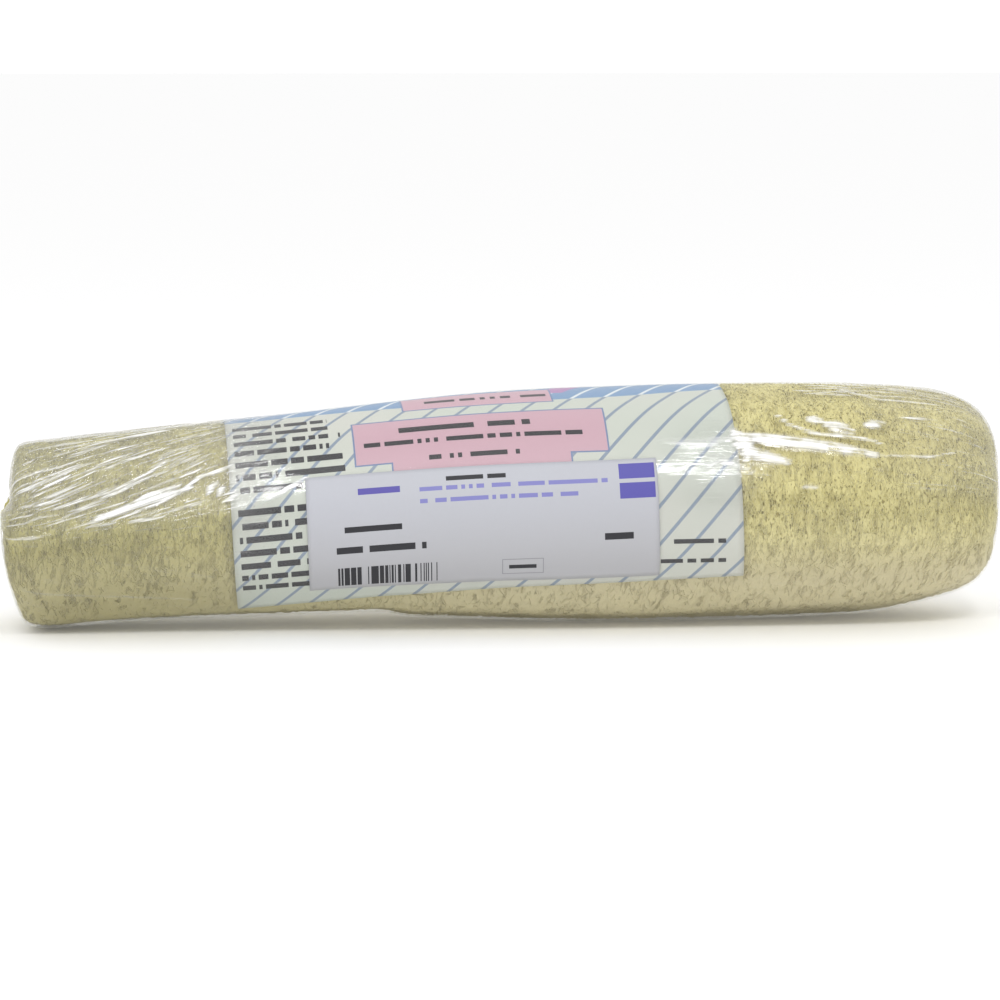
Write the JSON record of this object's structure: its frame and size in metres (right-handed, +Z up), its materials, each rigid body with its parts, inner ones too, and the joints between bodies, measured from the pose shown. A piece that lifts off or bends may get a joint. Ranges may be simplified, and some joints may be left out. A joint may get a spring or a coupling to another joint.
{
  "type": "dried luffa gourd",
  "caption": "Whole dried luffa sponge lying on its side in tight clear film, with a printed paper card under the film and a plain label on it.",
  "frame": {"origin": "on the surface that the gourd rests on, under the middle of its bounding box", "axes": "+X along the gourd towards its thick end, -Y the side that the card and the label face, +Z up"},
  "size_m": [0.2972, 0.0727, 0.0712],
  "materials": {
    "luffa_fibre": "dry, matt felt of fine straw-coloured plant fibre",
    "clear_film": "clear, glossy, tightly shrunk plastic film with fine creases",
    "card_paper": "smooth card printed with pale diagonal stripes and plain panels",
    "label_paper": "smooth matt white label paper"
  },
  "bodies": {
    "root": {"luffa_gourd": "luffa_fibre", "film_wrap": "clear_film", "printed_card": "card_paper", "sticker_label": "label_paper"}
  },
  "joints": []
}
